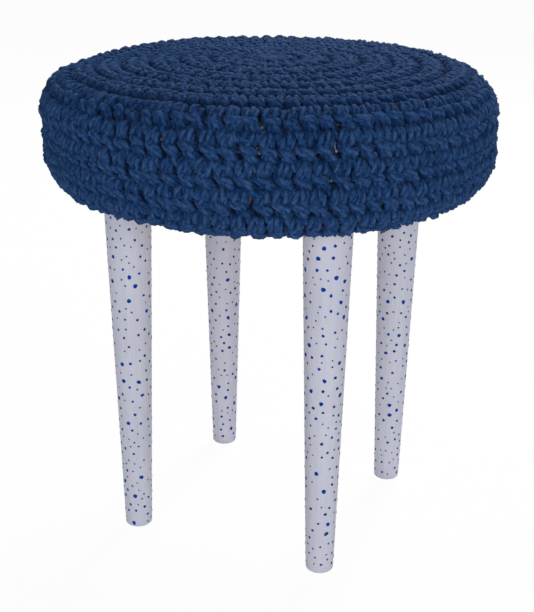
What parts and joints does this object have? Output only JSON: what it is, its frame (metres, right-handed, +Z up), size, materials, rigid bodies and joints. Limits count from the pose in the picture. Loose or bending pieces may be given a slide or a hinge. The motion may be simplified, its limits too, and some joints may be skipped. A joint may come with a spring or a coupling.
{
  "type": "stool",
  "caption": "Low round stool: a foam-padded plywood seat in a chunky crocheted cover, on straight tapered turned legs with painted dots.",
  "frame": {"origin": "on the floor, under the middle of the seat", "axes": "+Z up along the seat's centre line; the four legs stand on the diagonals between the X and Y axes, and -Y is the front"},
  "size_m": [0.4005, 0.4006, 0.4403],
  "materials": {
    "yarn": "chunky navy blue crochet yarn, matt with a soft sheen",
    "foam": "cream upholstery foam, fine open cells",
    "plywood": "bare birch plywood, warm brown veneers at the edge",
    "leg_paint": "turned beech under satin lilac-white paint, hand-painted blue dots",
    "plate_steel": "zinc-plated pressed sheet",
    "bolt_steel": "zinc-plated, rolled threads",
    "screw_steel": "yellow-passivated zinc"
  },
  "bodies": {
    "root": {"crochet_cover": "yarn", "foam_pad": "foam", "seat_board": "plywood", "leg_front_left": "leg_paint", "leg_front_right": "leg_paint", "leg_back_right": "leg_paint", "leg_back_left": "leg_paint", "leg_plate_front_left": "plate_steel", "leg_plate_front_right": "plate_steel", "leg_plate_back_right": "plate_steel", "leg_plate_back_left": "plate_steel", "hanger_bolt_front_left": "bolt_steel", "hanger_bolt_front_right": "bolt_steel", "hanger_bolt_back_right": "bolt_steel", "hanger_bolt_back_left": "bolt_steel", "plate_screws_front_left": "screw_steel", "plate_screws_front_right": "screw_steel", "plate_screws_back_right": "screw_steel", "plate_screws_back_left": "screw_steel"}
  },
  "joints": []
}
